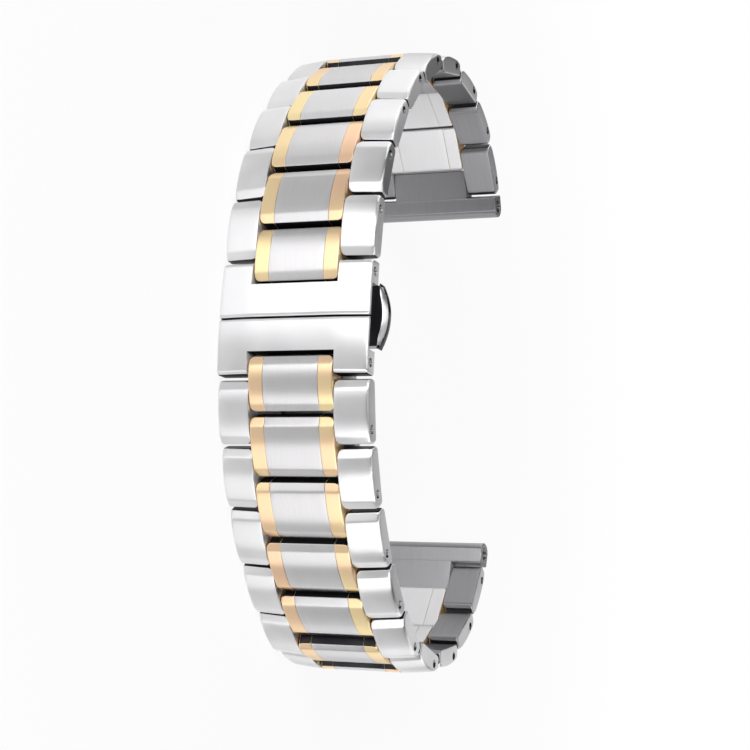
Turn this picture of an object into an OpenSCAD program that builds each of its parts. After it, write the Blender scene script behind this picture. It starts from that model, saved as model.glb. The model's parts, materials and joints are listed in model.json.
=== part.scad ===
// Two-tone metal watch strap, worn closed: two halves of hinged links, joined by a folding clasp.
// The loop lies in the XY plane and the strap stands on its edge, so the link pins run along Z.
// The clasp is at the front (-Y). The left half is on the -X side and the right half on +X.

/* [Strap] */
// Width of the strap
strap_w = 20; // [18:0.5:24]
// Thickness of a link at its middle
link_t = 2.9; // [2.6:0.1:3.2]
// Distance between the pins of one link
pitch = 8.0; // [7.6:0.1:9]
// Number of links in each half, without the end link
link_count = 9; // [7:1:9]
// Gap between two links in a row
link_gap = 0.5; // [0.3:0.05:0.7]
// Gap between the outer pieces and the gold pieces
side_gap = 0.08; // [0.04:0.01:0.12]

/* [Rows] */
// Width of one outer piece
outer_w = 4.4; // [3.6:0.1:5]
// Width of one gold piece
gold_w = 1.95; // [1.4:0.05:2.4]
// Gap between a gold piece and the centre piece
bead_gap = 0.03; // [0.02:0.01:0.05]

/* [Link faces] */
// Length of the bevel at each end of a piece
bevel_l = 1.0; // [0.6:0.1:1.3]
// Depth of that bevel at the end face
bevel_h = 0.72; // [0.4:0.04:0.9]
// Rise of the domed face between its bevels
dome_h = 0.14; // [0.06:0.02:0.2]
// Chamfer along the inner edges of a piece
foot_c = 0.5; // [0.3:0.05:0.6]
// Drop of the outer pieces towards the strap's edge
crown_h = 0.42; // [0.2:0.02:0.6]
// Chamfer along the strap's edge
edge_c = 0.35; // [0.2:0.05:0.5]
// Corner radius of the pieces, seen from the front
corner_r = 0.7; // [0.3:0.1:0.9]

/* [Pins] */
// Radius of every link pin
pin_r = 0.5; // [0.4:0.05:0.6]
// Radial clearance round a pin
pin_clear = 0.05; // [0.02:0.01:0.08]
// How far a pin's end lies below the strap's side
pin_sink = 0.15; // [0.05:0.05:0.4]

/* [Shape of the loop] */
// Tilt of the first left link away from the clasp
left_start = 5; // [3:1:10]
// Bend at each front joint of the left half
left_front = 12; // [10:0.5:14]
// Bend at each rear joint of the left half
left_rear = 21.5; // [20:0.5:23]
// Tilt of the first right link away from the clasp
right_start = 12; // [6:1:13]
// Bend at each front joint of the right half
right_front = 10; // [9:0.5:12]
// Bend at each rear joint of the right half
right_rear = 23.5; // [21:0.5:24]
// Number of links before the rear bend begins
front_links = 5; // [4:1:5]

/* [End links] */
// Radius of the bore for the watch's spring bar
lug_bore_r = 0.95; // [0.7:0.05:1]
// Distance from the last pin to the spring bar
lug_reach = 3.85; // [3.6:0.05:4.5]
// Wall round the spring bar
lug_wall = 0.65; // [0.55:0.05:0.8]

/* [Clasp covers] */
// Length of one cover, from the seam to its end
cover_l = 7.0; // [6.8:0.1:7.4]
// Depth of the notch that takes the first centre piece
notch_l = 2.8; // [2.6:0.1:3]
// Distance from a cover's end to the first link pin
first_pin_in = 1.4; // [1.3:0.05:1.5]
// Stub of the first centre piece behind its pin
first_stub = 1.05; // [0.9:0.05:1.1]
// Height of a cover above the links' middle plane
cover_top = 1.6; // [1.5:0.05:1.8]
// Thickness of a cover's top plate
cover_plate = 0.9; // [0.8:0.05:1]
// Drop of a cover's domed face towards its end
cover_drop = 0.35; // [0.1:0.05:0.5]
// Gap at the seam between the two covers
seam_gap = 0.24; // [0.15:0.01:0.3]
// Half length along the strap of the cut-out for the button
button_cut = 4.1; // [3.9:0.05:4.15]

/* [Clasp arms and base] */
// Bending radius of the arms' outer face
arm_bend_r = 40; // [38:1:46]
// Depth of the arms' outer face below the links' middle plane
arm_level = 1.55; // [1.5:0.05:1.7]
// Thickness of an arm
arm_t = 0.8; // [0.6:0.05:0.85]
// Thickness of the base plate
base_t = 0.9; // [0.7:0.05:1.2]
// Gap between the arms and the base plate
leaf_gap = 0.1; // [0.08:0.02:0.2]
// Width of the arms and the base plate
blade_w = 13.6; // [13:0.1:13.6]
// Distance from the seam to an arm's hinge
arm_pin_x = 18.5; // [17.5:0.1:19]
// Radius of the barrels at the arm hinges
barrel_r = 1.0; // [0.85:0.05:1.05]
// Width of the base plate's barrel
base_barrel_w = 8.4; // [7:0.1:9]
// Distance from the seam to a cover's hinge
cover_pin_x = 2.6; // [2.55:0.01:2.7]
// Depth of a cover's hinge below the links' middle plane
cover_pin_y = 0.45; // [0.4:0.05:0.5]
// Radius of the knuckles at the cover hinges
knuckle_r = 0.95; // [0.8:0.05:0.95]
// Distance from the seam to the window in an arm
window_x = 7.5; // [7:0.1:8]
// Width of the window in an arm
window_w = 6; // [4:0.5:7]
// Length of that window
window_l = 6.5; // [4:0.5:7]

/* [Latch and button] */
// Width across the strap of the latch block
block_w = 7.0; // [6:0.1:7.2]
// Length along the strap of the latch block
block_l = 3.8; // [3.4:0.05:3.9]
// Radius of the button's stem
stem_r = 0.7; // [0.55:0.05:0.75]
// Depth of the stem below the links' middle plane
stem_y = 0.5; // [0.45:0.05:0.6]
// Length along the strap of the button's lens-shaped head
button_l = 8.0; // [7:0.1:8.6]
// Height of the button's head
button_t = 1.8; // [1.4:0.05:1.9]
// How far the middle of the button stands out of the strap's side
button_out = 2.0; // [1.8:0.05:2.4]
// How far the lens swells between its tips and its middle
button_sag = 1.1; // [0.7:0.05:1.1]
// Travel of the button
button_travel = 0.7; // [0.5:0.05:0.7]
// Thickness of the hook plate on the stem
hook_t = 0.5; // [0.4:0.05:0.55]
// Thickness of the wire of the button's spring
spring_wire = 0.2; // [0.14:0.02:0.24]
// Number of turns of the button's spring
spring_turns = 4; // [3:1:5]

/* [Hidden] */
$fn = 48;
tiny = 0.02;
steel = [0.80, 0.80, 0.82];
satin = [0.66, 0.65, 0.68];
gold = [0.85, 0.68, 0.40];
dark = [0.30, 0.30, 0.33];

// Half sizes and rows
half_w = strap_w / 2;
half_t = link_t / 2;
row_z = half_w - outer_w;             // boundary between the outer and the gold row
centre_z = row_z - gold_w;            // boundary between the gold and the centre row
stub = pitch / 4 - link_gap / 2;      // how far a piece runs past its pin
bore_r = pin_r + pin_clear;
pin_half = half_w - pin_sink;         // hinge pins end near the strap's side
fix_half = half_w - 1.3;              // fixing pins end inside the outer pieces
first_pin_x = cover_l - first_pin_in;

// The loop: tilt of each link and place of each pin, for the right half and mirrored for the left
start_tilt = [left_start, right_start];
front_bend = [left_front, right_front];
rear_bend = [left_rear, right_rear];
function tilt(h, k) = start_tilt[h] + min(k, front_links - 1) * front_bend[h]
    + max(0, k - front_links + 1) * rear_bend[h];
function heading(h, k) = [cos(tilt(h, k)), sin(tilt(h, k))];
function pin_at(h, k) = k == 0 ? [first_pin_x, 0] : pin_at(h, k - 1) + pitch * heading(h, k - 1);

// A point of a link's own outline, s along the link and y inwards, placed in the loop
function in_loop(h, k, p) = pin_at(h, k) + p[0] * heading(h, k)
    + p[1] * [-sin(tilt(h, k)), cos(tilt(h, k))];

// Side outline of a domed piece from s = a to s = b, with bevelled ends
dome_steps = 6;
function piece_outline(a, b) = concat(
    [[a, half_t - foot_c], [a, bevel_h - half_t]],
    [for (i = [0 : dome_steps])
        let (u = i / dome_steps)
        [a + bevel_l + u * (b - a - 2 * bevel_l), dome_h * pow(2 * u - 1, 2) - half_t]],
    [[b, bevel_h - half_t], [b, half_t - foot_c], [b - foot_c, half_t], [a + foot_c, half_t]]);
function centre_from(k) = k == 0 ? -first_stub : -stub;
centre_to = pitch / 2 + stub;
outer_from = pitch / 2 - stub;
outer_to = pitch + stub;

// End link: round nose about the spring bar
lug_r = lug_bore_r + lug_wall;
lug_full_from = pitch / 2 - stub;

// Extent of the loop, which puts the origin under its middle
function reach(h, axis) = max([for (k = [0 : link_count - 1])
    for (p = piece_outline(outer_from, outer_to)) in_loop(h, k, p)[axis]]);
function lug_point(h) = in_loop(h, link_count, [lug_reach, 0]);
loop_left = max(reach(0, 0), lug_point(0)[0] + lug_r);
loop_right = max(reach(1, 0), lug_point(1)[0] + lug_r);
loop_back = max(reach(0, 1), reach(1, 1), lug_point(0)[1] + lug_r, lug_point(1)[1] + lug_r);
mid_x = (loop_right - loop_left) / 2;
mid_y = (loop_back - cover_top) / 2;
base_z = half_w;

// Clasp arcs: arms outside, base plate inside, all about one centre
bend_c = arm_level + arm_bend_r;
arm_in_r = arm_bend_r - arm_t;
base_out_r = arm_in_r - leaf_gap;
base_in_r = base_out_r - base_t;
arm_pin_r = (arm_in_r + base_out_r) / 2;
arm_pin_y = bend_c - sqrt(pow(arm_pin_r, 2) - pow(arm_pin_x, 2));
arm_end_a = asin(arm_pin_x / arm_pin_r);
blade_z = blade_w / 2;
barrel_z = base_barrel_w / 2;
run_gap = 0.12;
arm_from_x = cover_pin_x + 0.45;      // free end of an arm's plate, beyond its knuckles
notch_x = cover_l - notch_l;
notch_z = row_z + 0.15;
cover_in = cover_top - cover_plate;   // depth of the top plate's inner face
prong_in = half_t - 0.15;

// Latch: block, hook plates, knuckles and ears follow each other across the strap
block_z = block_w / 2;
hook_z = block_z + button_travel + 0.2;
knuckle_from = hook_z + hook_t + 0.1;
knuckle_to = blade_z;
ear_from = knuckle_to + 0.1;
ear_to = ear_from + 1.1;
block_top = cover_in - 0.12;
block_foot = bend_c - base_out_r - tiny;
stem_end = 2.55;
spring_from = 0.45;
spring_r = stem_r - spring_wire / 2 - 0.05;
button_y0 = -cover_in + 0.1;
head_root = half_w - 0.75;
hook_x = cover_pin_x - pin_r - 0.08;

// Moves the clasp's frame, with its origin at the seam, to the part's frame
module placed() translate([-mid_x, -mid_y, base_z]) children();

// The right half is drawn as it is and the left half is its mirror image
module side(h) mirror([h == 0 ? 1 : 0, 0, 0]) children();

module both_edges() {
    children();
    mirror([0, 0, 1]) children();
}

// Puts a link's own frame in the loop
module on_link(h, k)
    placed() side(h) translate([pin_at(h, k)[0], pin_at(h, k)[1], 0]) rotate([0, 0, tilt(h, k)])
        children();

// A round bar along Z, centred on z = 0 or from z0 to z1
module bar(x, y, r, z0, z1) translate([x, y, z0]) cylinder(r = r, h = z1 - z0);

// A box given by its corners
module block(p, q) translate(p) cube(q - p);

// Outline with its corners rounded to the radii c, in the order of the corners
corner_steps = 4;
function arc_points(p, r, a) = r <= 0 ? [p] : [for (i = [0 : corner_steps])
    let (t = a + 90 * i / corner_steps)
    p + r * [cos(t), sin(t)] - r * sqrt(2) * [cos(a + 45), sin(a + 45)]];
function plan_outline(a, b, z0, z1, c) = concat(
    arc_points([b, z1], c[0], 0), arc_points([a, z1], c[1], 90),
    arc_points([a, z0], c[2], 180), arc_points([b, z0], c[3], 270));

// A domed bar from s = a to b and z = z0 to z1, cut to a plan outline
module domed(a, b, z0, z1, c) {
    intersection() {
        translate([0, 0, z0]) linear_extrude(height = z1 - z0) polygon(piece_outline(a, b));
        rotate([90, 0, 0]) translate([0, 0, -link_t]) linear_extrude(height = 2 * link_t)
            polygon(plan_outline(a, b, z0, z1, c));
    }
}

// What lies under the crowned face of the outer row, from s = a to b
module crown_space(a, b, top) {
    rotate([0, 90, 0]) translate([0, 0, a]) linear_extrude(height = b - a)
        polygon([[-row_z, -top], [-half_w + edge_c, crown_h - top],
                 [-half_w, crown_h + edge_c - top], [-half_w, half_t - foot_c / 2],
                 [-half_w + foot_c / 2, half_t], [-row_z, half_t]]);
}

// Outer piece of a link: one of the pair, with its two pin bores
module outer_piece() {
    color(steel) difference() {
        intersection() {
            domed(outer_from, outer_to, row_z + side_gap / 2, half_w,
                  [0.3, 0.3, corner_r, corner_r]);
            crown_space(outer_from - 1, outer_to + 1, half_t);
        }
        bar(pitch / 2, 0, bore_r, row_z - 1, fix_half + 0.1);
        bar(pitch, 0, bore_r, row_z - 1, half_w + 1);
    }
}

// The pair of outer pieces of link k, with the pin that fixes them to their own centre piece
// and the pin on which the next link turns
module link_outers(h, k) on_link(h, k) {
    both_edges() outer_piece();
    color(steel) bar(pitch / 2, 0, pin_r, -fix_half, fix_half);
    color(steel) bar(pitch, 0, pin_r, -pin_half, pin_half);
}

// Centre piece of link k between its two gold pieces
module link_centre(h, k) on_link(h, k) {
    color(satin) difference() {
        domed(centre_from(k), centre_to, -centre_z + bead_gap / 2, centre_z - bead_gap / 2,
              [0, 0, 0, 0]);
        for (s = [0, pitch / 2]) bar(s, 0, bore_r, -half_w, half_w);
    }
    both_edges() color(gold) difference() {
        domed(centre_from(k), centre_to, centre_z + bead_gap / 2, row_z - side_gap / 2,
              [corner_r, corner_r, 0, 0]);
        for (s = [0, pitch / 2]) bar(s, 0, bore_r, 0, half_w);
    }
}

// Solid end link: a tongue between the last outer pieces and a full-width nose with the lug bore
module end_link(h) on_link(h, link_count) color(satin) difference() {
    union() {
        linear_extrude(height = 2 * (row_z - side_gap / 2), center = true)
            polygon([[-stub, half_t - foot_c], [-stub, bevel_h - half_t],
                     [-stub + bevel_l, -half_t], [lug_reach, -half_t],
                     [lug_reach, half_t], [foot_c - stub, half_t]]);
        block([lug_full_from, -half_t, -half_w], [lug_reach, half_t, half_w]);
        bar(lug_reach, 0, lug_r, -half_w, half_w);
    }
    bar(0, 0, bore_r, -half_w, half_w);
    bar(lug_reach, 0, lug_bore_r, -half_w - 1, half_w + 1);
}

// Clasp cover: top plate with a notch, two prongs for the first pin, and two hinge ears inside.
// Its side is cut out for the button on the +Z edge and closed by a wall on the other.
module cover(h) placed() side(h) color(steel) difference() {
    union() {
        intersection() {
            union() {
                block([seam_gap / 2, -cover_top, -half_w], [cover_l, -cover_in, half_w]);
                both_edges()
                    block([button_cut, -cover_in - tiny, notch_z], [cover_l, prong_in, half_w]);
                block([seam_gap / 2, -cover_in - tiny, -half_w],
                      [button_cut + tiny, prong_in, -ear_to - 0.4]);
            }
            cover_crown();
        }
        block([notch_x - 0.5, -cover_in - tiny, -notch_z], [notch_x, prong_in - 0.3, notch_z]);
        both_edges() {
            bar(cover_pin_x, cover_pin_y, knuckle_r, ear_from, ear_to);
            block([cover_pin_x - knuckle_r, -cover_in - tiny, ear_from],
                  [cover_pin_x + knuckle_r, cover_pin_y, ear_to]);
        }
    }
    block([notch_x, -cover_top - 1, -notch_z], [cover_l + 1, link_t, notch_z]);
    bar(first_pin_x, 0, bore_r, -half_w - 1, half_w + 1);
    bar(cover_pin_x, cover_pin_y, bore_r, -ear_to + 0.3, ear_to - 0.3);
}

// Space under a cover's crowned and domed top, with a round edge at the seam and a bevelled end
seam_round = 0.5;
cover_steps = 8;
module cover_crown() {
    intersection() {
        rotate([0, 90, 0]) linear_extrude(height = cover_l) polygon([
            [-row_z, -cover_top], [-half_w + edge_c, crown_h - cover_top],
            [-half_w, crown_h + edge_c - cover_top], [-half_w, link_t],
            [half_w, link_t], [half_w, crown_h + edge_c - cover_top],
            [half_w - edge_c, crown_h - cover_top], [row_z, -cover_top]]);
        linear_extrude(height = 2 * strap_w, center = true) polygon(concat(
            [for (a = [0 : 30 : 60]) [seam_gap / 2 + seam_round * (1 - cos(a)),
                                      seam_round * (1 - sin(a)) - cover_top]],
            [for (i = [0 : cover_steps])
                let (x = seam_gap / 2 + seam_round
                         + (cover_l - 0.6 - seam_gap / 2 - seam_round) * i / cover_steps)
                [x, cover_drop * pow(x / cover_l, 2) - cover_top]],
            [[cover_l - 0.2, cover_drop + 0.15 - cover_top],
             [cover_l, cover_drop + 0.5 - cover_top], [cover_l, prong_in - 0.4],
             [cover_l - 0.4, prong_in], [0, prong_in]]));
    }
}

module first_pin(h) placed() side(h) color(steel)
    bar(first_pin_x, 0, pin_r, -pin_half, pin_half);

module cover_pin(h) placed() side(h) color(steel)
    bar(cover_pin_x, cover_pin_y, pin_r, -ear_to + 0.35, ear_to - 0.35);

// A curved leaf about the clasp's bending centre, from x0 to x1, between two radii
module leaf(x0, x1, r_in, r_out, z0, z1) {
    intersection() {
        translate([0, bend_c, z0]) difference() {
            cylinder(r = r_out, h = z1 - z0, $fn = 180);
            translate([0, 0, -1]) cylinder(r = r_in, h = z1 - z0 + 2, $fn = 180);
        }
        block([x0, bend_c - r_out - 1, z0 - 1], [x1, bend_c - r_in / 2, z1 + 1]);
    }
}

// Folding arm: a curved leaf with two barrels at its hinge and two knuckles under the cover
module arm(h) placed() side(h) color(satin) difference() {
    union() {
        leaf(arm_from_x, arm_pin_x, arm_in_r, arm_bend_r, -blade_z, blade_z);
        both_edges() {
            bar(arm_pin_x, arm_pin_y, barrel_r, barrel_z + run_gap, blade_z);
            bar(cover_pin_x, cover_pin_y, knuckle_r, knuckle_from, knuckle_to);
            translate([0, 0, knuckle_from]) linear_extrude(height = knuckle_to - knuckle_from)
                polygon([[cover_pin_x - 0.1, cover_pin_y + knuckle_r - 0.1],
                         [cover_pin_x + knuckle_r - 0.1, cover_pin_y],
                         [cover_pin_x + 1.6, arm_level + 0.4],
                         [cover_pin_x + 1.6, arm_level + arm_t]]);
        }
    }
    bar(arm_pin_x, arm_pin_y, barrel_r + run_gap, -barrel_z - run_gap, barrel_z + run_gap);
    bar(arm_pin_x, arm_pin_y, bore_r, -blade_z - 1, blade_z + 1);
    bar(cover_pin_x, cover_pin_y, bore_r, -blade_z - 1, blade_z + 1);
    block([window_x, 0, -window_w / 2], [window_x + window_l, arm_pin_y, window_w / 2]);
}

// Base plate: the leaf that lies on the wrist, with a barrel at each end
module base_plate() placed() color(satin) difference() {
    union() {
        leaf(-arm_pin_x, arm_pin_x, base_in_r, base_out_r, -blade_z, blade_z);
        for (m = [0, 1]) mirror([m, 0, 0])
            bar(arm_pin_x, arm_pin_y, barrel_r, -barrel_z, barrel_z);
    }
    for (m = [0, 1]) mirror([m, 0, 0]) {
        bar(arm_pin_x, arm_pin_y, bore_r, -blade_z - 1, blade_z + 1);
        both_edges()
            bar(arm_pin_x, arm_pin_y, barrel_r + run_gap, barrel_z, blade_z + 1);
    }
    both_edges() rivet_bar(rivet_r + tiny);
}

module arm_hinge_pins() placed() color(steel)
    for (m = [0, 1]) mirror([m, 0, 0])
        bar(arm_pin_x, arm_pin_y, pin_r, -blade_z + 0.1, blade_z - 0.1);

// Latch block: stands on the base plate between the arms' ends and holds the stem and its spring
rivet_r = 0.4;
rivet_z = 2.3;
module rivet_bar(r) translate([0, stem_y + stem_r + 0.3, rivet_z]) rotate([-90, 0, 0])
    cylinder(r = r, h = bend_c - base_in_r - stem_y - stem_r - 0.35);

module latch_block() placed() color(dark) difference() {
    block([-block_l / 2, -block_top, -block_z], [block_l / 2, block_foot, block_z]);
    bar(0, stem_y, stem_r + pin_clear, 0.4, block_z + 1);
    both_edges() rivet_bar(rivet_r + tiny);
}

module latch_rivets() placed() color(steel) both_edges() rivet_bar(rivet_r);

// Push button: a lens-shaped head outside on a neck, a stem into the latch block, and a hook plate
neck_half = button_cut - 0.4;
lens_half = button_l / 2;
lens_r = (pow(lens_half, 2) + pow(button_sag, 2)) / (2 * button_sag);
lens_z = half_w + button_out - button_sag;
module push_button() placed() color(dark) {
    intersection() {
        translate([0, button_y0, half_w + button_out - lens_r]) rotate([-90, 0, 0])
            cylinder(r = lens_r, h = button_t, $fn = 120);
        block([-lens_half, button_y0, lens_z], [lens_half, button_y0 + button_t, half_w + 3]);
    }
    block([-neck_half, button_y0, head_root], [neck_half, button_y0 + button_t, lens_z + tiny]);
    bar(0, stem_y, stem_r, stem_end, head_root + 0.1);
    difference() {
        block([-hook_x, button_y0, hook_z], [hook_x, arm_level - 0.3, hook_z + hook_t]);
        for (m = [0, 1]) mirror([m, 0, 0])
            bar(cover_pin_x, cover_pin_y, pin_r + 0.3, hook_z - 1, hook_z + hook_t + 1);
    }
}

// Coil spring behind the stem: one round wire swept along a helix as a closed tube
spring_sides = 6;
spring_ring = 10;
spring_to = stem_end - 0.03;
spring_l = spring_to - spring_from - spring_wire;
function coil_point(i) = let (a = 360 * i / spring_ring)
    [spring_r * cos(a), spring_r * sin(a),
     spring_from + spring_wire / 2 + spring_l * i / (spring_ring * spring_turns)];
module coil() {
    last = spring_ring * spring_turns;
    points = [for (i = [0 : last]) for (j = [0 : spring_sides - 1])
        let (a = 360 * i / spring_ring, b = 360 * j / spring_sides)
        coil_point(i) + spring_wire / 2 * [cos(b) * cos(a), cos(b) * sin(a), sin(b)]];
    walls = [for (i = [0 : last - 1]) for (j = [0 : spring_sides - 1])
        let (p = i * spring_sides, q = p + spring_sides, n = (j + 1) % spring_sides)
        each [[p + j, q + j, q + n], [p + j, q + n, p + n]]];
    caps = [[for (j = [0 : spring_sides - 1]) j],
            [for (j = [spring_sides - 1 : -1 : 0]) last * spring_sides + j]];
    polyhedron(points = points, faces = concat(walls, caps));
}
module button_spring() placed() color(steel) translate([0, stem_y, 0]) coil();

base_plate();
latch_block();
latch_rivets();
arm_hinge_pins();
push_button();
button_spring();
arm(0);  // left_arm
arm(1);  // right_arm
cover_pin(0);  // left_cover_pin
cover_pin(1);  // right_cover_pin
cover(0);  // left_cover
cover(1);  // right_cover
first_pin(0);  // left_first_pin
first_pin(1);  // right_first_pin
for (h = [0, 1], k = [0 : link_count - 1]) {
    link_outers(h, k);
    link_centre(h, k);
}
end_link(0);  // left_end_link
end_link(1);  // right_end_link
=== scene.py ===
"""Dresses the two-tone metal watch strap: polished outer pieces, gold-coloured rows, a satin centre row,
a folding clasp with a push button, and the plain white studio in which it was photographed.
Lengths are written in millimetres and become metres where a mesh or a lamp is made."""
import json

import bpy
import numpy as np
from mathutils import Matrix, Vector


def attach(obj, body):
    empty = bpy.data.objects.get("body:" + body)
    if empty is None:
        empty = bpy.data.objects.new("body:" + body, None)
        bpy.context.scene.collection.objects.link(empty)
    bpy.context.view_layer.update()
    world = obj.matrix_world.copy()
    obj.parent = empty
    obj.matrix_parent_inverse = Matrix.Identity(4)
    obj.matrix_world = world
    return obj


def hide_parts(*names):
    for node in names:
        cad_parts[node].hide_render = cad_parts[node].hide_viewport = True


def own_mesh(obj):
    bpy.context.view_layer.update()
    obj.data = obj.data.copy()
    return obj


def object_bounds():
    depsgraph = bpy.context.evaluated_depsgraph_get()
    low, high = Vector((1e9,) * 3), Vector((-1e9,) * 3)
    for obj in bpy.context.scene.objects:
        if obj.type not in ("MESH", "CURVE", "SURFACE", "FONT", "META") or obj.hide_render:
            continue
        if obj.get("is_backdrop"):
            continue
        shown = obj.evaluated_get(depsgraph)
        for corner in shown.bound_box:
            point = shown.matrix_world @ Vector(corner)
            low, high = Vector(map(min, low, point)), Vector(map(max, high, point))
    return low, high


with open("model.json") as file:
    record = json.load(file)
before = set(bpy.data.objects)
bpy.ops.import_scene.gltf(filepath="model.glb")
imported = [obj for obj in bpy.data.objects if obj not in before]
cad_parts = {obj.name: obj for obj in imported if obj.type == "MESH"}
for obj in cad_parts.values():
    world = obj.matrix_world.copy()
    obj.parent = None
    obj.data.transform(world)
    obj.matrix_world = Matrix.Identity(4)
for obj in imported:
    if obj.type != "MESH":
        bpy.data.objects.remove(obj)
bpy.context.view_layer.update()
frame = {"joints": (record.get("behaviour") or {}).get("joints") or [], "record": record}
MM = 0.001


# THE CAMERA
# It stands in front of the clasp, a little to the strap's right and above. The strap stands on its
# edge here and hangs upright in the photograph, so the camera is turned on its side.
LOOK_AT = np.array([3.35, -2.06, 11.98])    # the point in the picture's middle
DISTANCE = 227.5
AZIMUTH, ELEVATION, ROLL = np.radians([10.6, 21.2, 0.84])
FOCAL_PX, PICTURE_PX, SENSOR = 1707.0, 750.0, 36.0
NEAREST, FARTHEST = 0.01, 20    # metres between which the camera sees

# back points from there to the camera, and right and up are the picture's own.
back = np.array([np.sin(AZIMUTH) * np.cos(ELEVATION), -np.cos(AZIMUTH) * np.cos(ELEVATION),
                 np.sin(ELEVATION)])
level = np.array([0.0, 0.0, 1.0]) - back[2] * back
level /= np.linalg.norm(level)
right = np.cos(ROLL) * level + np.sin(ROLL) * np.cross(level, back)
up = np.cross(back, right)
camera = bpy.data.objects.new("camera", bpy.data.cameras.new("camera"))
bpy.context.scene.collection.objects.link(camera)
camera.data.sensor_width = SENSOR
camera.data.lens = FOCAL_PX * SENSOR / PICTURE_PX
camera.data.clip_start, camera.data.clip_end = NEAREST, FARTHEST
place = np.eye(4)
place[:3, 0], place[:3, 1], place[:3, 2] = right, up, back
place[:3, 3] = (LOOK_AT + DISTANCE * back) * MM
camera.matrix_world = Matrix(place)
bpy.context.scene.camera = camera


# THE STUDIO
# A plain white table that reaches the horizon, under plain grey air. Upright soft lamps stand round
# it with gaps between them, so that each turned face of the metal shows one bright band, and a weak
# one hangs above.
TABLE_SIZE = 40000
TABLE_COLOUR = (0.9, 0.9, 0.9, 1)
WHITE = (1, 1, 1, 1)
PLAIN_SHARE = (0.88, 1.0)         # of plain white in the table as the eye and the metal see it
PLAIN_FROM, PLAIN_AT = 70, 200    # distances from the strap's middle between which it grows
AIR_GREY = 0.1
# For each lamp: degrees round from the front, distance, height, width, tallness and brightness.
LAMPS = {
    "front_softbox": (-19, 360, 165, 185, 330, 3.5),
    "right_softbox": (50, 360, 165, 270, 330, 2.7),
    "left_softbox": (-92, 360, 165, 380, 330, 1.8),
    "far_right_softbox": (120, 360, 165, 200, 330, 1.6),
    "rear_softbox": (172, 430, 185, 380, 330, 0.75),
    "top_softbox": (-10, 110, 340, 240, 240, 1.0),
}


def node_material(name):
    """A new material and its node tree with nothing in it but the output."""
    material = bpy.data.materials.new(name)
    material.use_nodes = True
    tree = material.node_tree
    tree.nodes.clear()
    return material, tree, tree.nodes.new("ShaderNodeOutputMaterial")


def seen_ray(tree):
    """1 for a ray from the camera, from gloss or through glass, and 0 for all others."""
    path = tree.nodes.new("ShaderNodeLightPath")
    total = tree.nodes.new("ShaderNodeMath")
    total.operation, total.use_clamp = "ADD", True
    gloss = tree.nodes.new("ShaderNodeMath")
    gloss.operation = "MAXIMUM"
    tree.links.new(path.outputs["Is Glossy Ray"], gloss.inputs[0])
    tree.links.new(path.outputs["Is Transmission Ray"], gloss.inputs[1])
    tree.links.new(path.outputs["Is Camera Ray"], total.inputs[0])
    tree.links.new(gloss.outputs[0], total.inputs[1])
    return total.outputs[0]


def table_material():
    """Matt white that takes a soft shadow, mixed with plain white for the rays that see it. The plain
    share grows with the distance from the strap's middle until nothing else is left."""
    material, tree, output = node_material("white_table")
    matt = tree.nodes.new("ShaderNodeBsdfDiffuse")
    matt.inputs["Color"].default_value = TABLE_COLOUR
    plain = tree.nodes.new("ShaderNodeEmission")
    plain.inputs["Color"].default_value = WHITE
    where = tree.nodes.new("ShaderNodeTexCoord")
    away = tree.nodes.new("ShaderNodeVectorMath")
    away.operation = "LENGTH"
    fade = tree.nodes.new("ShaderNodeMapRange")
    fade.inputs["From Min"].default_value = PLAIN_FROM * MM
    fade.inputs["From Max"].default_value = PLAIN_AT * MM
    fade.inputs["To Min"].default_value, fade.inputs["To Max"].default_value = PLAIN_SHARE
    share = tree.nodes.new("ShaderNodeMath")
    share.operation = "MULTIPLY"
    mix = tree.nodes.new("ShaderNodeMixShader")
    tree.links.new(where.outputs["Object"], away.inputs[0])
    tree.links.new(away.outputs["Value"], fade.inputs["Value"])
    tree.links.new(seen_ray(tree), share.inputs[0])
    tree.links.new(fade.outputs["Result"], share.inputs[1])
    tree.links.new(share.outputs[0], mix.inputs[0])
    tree.links.new(matt.outputs[0], mix.inputs[1])
    tree.links.new(plain.outputs[0], mix.inputs[2])
    tree.links.new(mix.outputs[0], output.inputs["Surface"])
    return material


reach = TABLE_SIZE / 2 * MM
table_corners = [(x * reach, y * reach, 0) for x, y in ((-1, -1), (1, -1), (1, 1), (-1, 1))]
table_mesh = bpy.data.meshes.new("table")
table_mesh.from_pydata(table_corners, [], [(0, 1, 2, 3)])
table_mesh.materials.append(table_material())
table = bpy.data.objects.new("table", table_mesh)
bpy.context.scene.collection.objects.link(table)
table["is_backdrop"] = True

# A lamp's power is pi times its area times its brightness. It faces the middle of the table.
for name, (turn, far, high, width, tall, bright) in LAMPS.items():
    lamp = bpy.data.lights.new(name, "AREA")
    lamp.shape, lamp.size, lamp.size_y = "RECTANGLE", width * MM, tall * MM
    lamp.energy = np.pi * width * tall * MM * MM * bright
    holder = bpy.data.objects.new(name, lamp)
    bpy.context.scene.collection.objects.link(holder)
    spot = np.array([far * np.sin(np.radians(turn)), -far * np.cos(np.radians(turn)), high])
    away = spot / np.linalg.norm(spot)
    side = np.cross([0, 0, 1], away)
    side /= np.linalg.norm(side)
    place = np.eye(4)
    place[:3, 0], place[:3, 1], place[:3, 2] = side, np.cross(away, side), away
    place[:3, 3] = spot * MM
    holder.matrix_world = Matrix(place)

world = bpy.data.worlds.new("studio")
bpy.context.scene.world = world
world.use_nodes = True
tree = world.node_tree
tree.nodes.clear()
air = tree.nodes.new("ShaderNodeBackground")
air.inputs["Color"].default_value = (AIR_GREY, AIR_GREY, AIR_GREY, 1)
tree.links.new(air.outputs[0], tree.nodes.new("ShaderNodeOutputWorld").inputs["Surface"])
bpy.context.scene.view_settings.view_transform = "Standard"


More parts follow.
